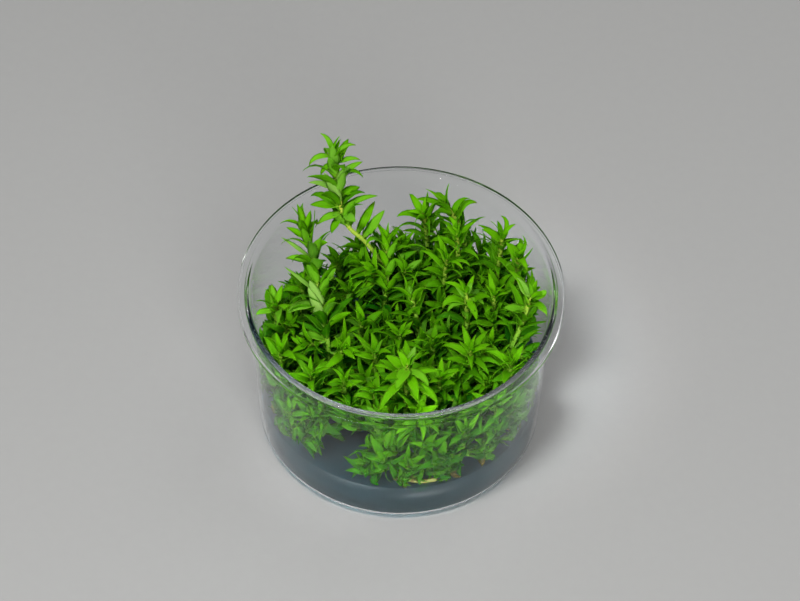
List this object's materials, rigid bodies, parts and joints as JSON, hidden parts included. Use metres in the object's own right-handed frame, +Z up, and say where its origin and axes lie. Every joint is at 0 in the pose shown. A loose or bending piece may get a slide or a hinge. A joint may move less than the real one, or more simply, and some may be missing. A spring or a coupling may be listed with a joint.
{
  "type": "tissue culture tonina fluviatilis",
  "caption": "Clear lidless round culture cup with milky gel and a dense bed of leafy green tonina plantlets, a tall shoot rising over the rim.",
  "frame": {"origin": "centre of the cup's foot, on the surface that it stands on", "axes": "+Z up through the open mouth, -Y the front that faces the camera in the picture, +X to the picture's right"},
  "size_m": [0.1, 0.1, 0.0896],
  "materials": {
    "clear_cup": "clear, glossy, moulded",
    "gel": "milky, wet, translucent",
    "leaf": "soft satin plant tissue",
    "old_stem": "dull yellowed plant tissue"
  },
  "bodies": {
    "root": {"cup": "clear_cup", "gel": "gel", "old_stem": "old_stem", "tall_shoot": "leaf", "left_shoot": "leaf", "front_shoot": "leaf", "back_shoot": "leaf", "back_side_shoot": "leaf", "inner_right_shoot": "leaf", "inner_shoot": "leaf", "corner_shoot": "leaf", "right_back_shoot": "leaf", "right_shoot": "leaf", "curled_shoot": "leaf", "right_inner_shoot": "leaf", "middle_shoot": "leaf", "rear_shoot": "leaf", "right_front_shoot": "leaf", "inner_front_shoot": "leaf", "left_front_shoot": "leaf", "left_wall_shoot": "leaf", "low_shoot_01": "leaf", "low_shoot_02": "leaf", "low_shoot_03": "leaf", "low_shoot_04": "leaf", "low_shoot_05": "leaf", "low_shoot_06": "leaf", "low_shoot_07": "leaf", "low_shoot_08": "leaf", "low_shoot_09": "leaf", "low_shoot_10": "leaf", "low_shoot_11": "leaf", "low_shoot_12": "leaf", "low_shoot_13": "leaf", "low_shoot_14": "leaf", "low_shoot_15": "leaf", "low_shoot_16": "leaf", "low_shoot_17": "leaf", "low_shoot_18": "leaf"}
  },
  "joints": []
}
